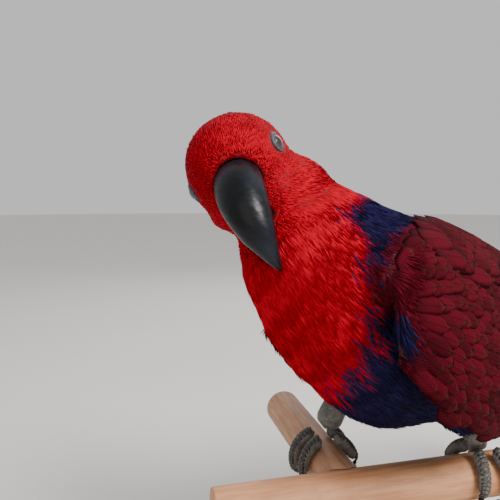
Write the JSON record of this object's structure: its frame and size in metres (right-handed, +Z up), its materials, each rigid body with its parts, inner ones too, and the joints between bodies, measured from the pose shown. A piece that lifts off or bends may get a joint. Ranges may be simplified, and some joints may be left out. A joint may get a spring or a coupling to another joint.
{
  "type": "eclectus parrot",
  "caption": "Life-size still female eclectus parrot, red with a blue-violet belly, leaning forward with head tilted, gripping two crossed wooden dowels on a plain display stand.",
  "frame": {"origin": "centre line of the stand on the floor, under the point midway between the two feet on the perches", "axes": "+Z up; the body points along -Y, so +Y is towards the tail; +X is the bird's left side"},
  "size_m": [0.1727, 0.2809, 0.2477],
  "materials": {
    "red_feather": "matte scarlet head and breast plumage, hair-like on the head, darker maroon in the shade of the breast",
    "blue_feather": "matte blue-violet belly, thighs and upper mantle band",
    "maroon_feather": "satin dark maroon wing and back feathers with paler worn edges",
    "tail_feather": "satin red tail feathers, paler and more orange towards the tip",
    "horn": "polished black horn with a blue-grey sheen",
    "eye": "wet dark brown eye, almost black",
    "scaled_skin": "dark grey skin in small pale-edged scales",
    "perch_wood": "bare peach-coloured dowel with fine grain",
    "stand_wood": "satin stained wood",
    "stand_metal": "brushed"
  },
  "bodies": {
    "root": {"head": "red_feather", "neck": "red_feather", "trunk": "red_feather", "wing_left": "maroon_feather", "wing_right": "maroon_feather", "primaries_left": "maroon_feather", "primaries_right": "maroon_feather", "tail": "tail_feather", "thigh_left": "blue_feather", "thigh_right": "blue_feather", "bill_upper": "horn", "bill_lower": "horn", "eye_left": "eye", "eye_right": "eye", "foot_left": "scaled_skin", "foot_right": "scaled_skin", "toe_inner_front_left": "scaled_skin", "claw_inner_front_left": "horn", "toe_outer_front_left": "scaled_skin", "claw_outer_front_left": "horn", "toe_inner_back_left": "scaled_skin", "claw_inner_back_left": "horn", "toe_outer_back_left": "scaled_skin", "claw_outer_back_left": "horn", "toe_inner_front_right": "scaled_skin", "claw_inner_front_right": "horn", "toe_outer_front_right": "scaled_skin", "claw_outer_front_right": "horn", "toe_inner_back_right": "scaled_skin", "claw_inner_back_right": "horn", "toe_outer_back_right": "scaled_skin", "claw_outer_back_right": "horn", "perch_front": "perch_wood", "perch_side": "perch_wood", "stand_base": "stand_wood", "stand_rod_1": "stand_metal", "stand_rod_2": "stand_metal"}
  },
  "joints": []
}
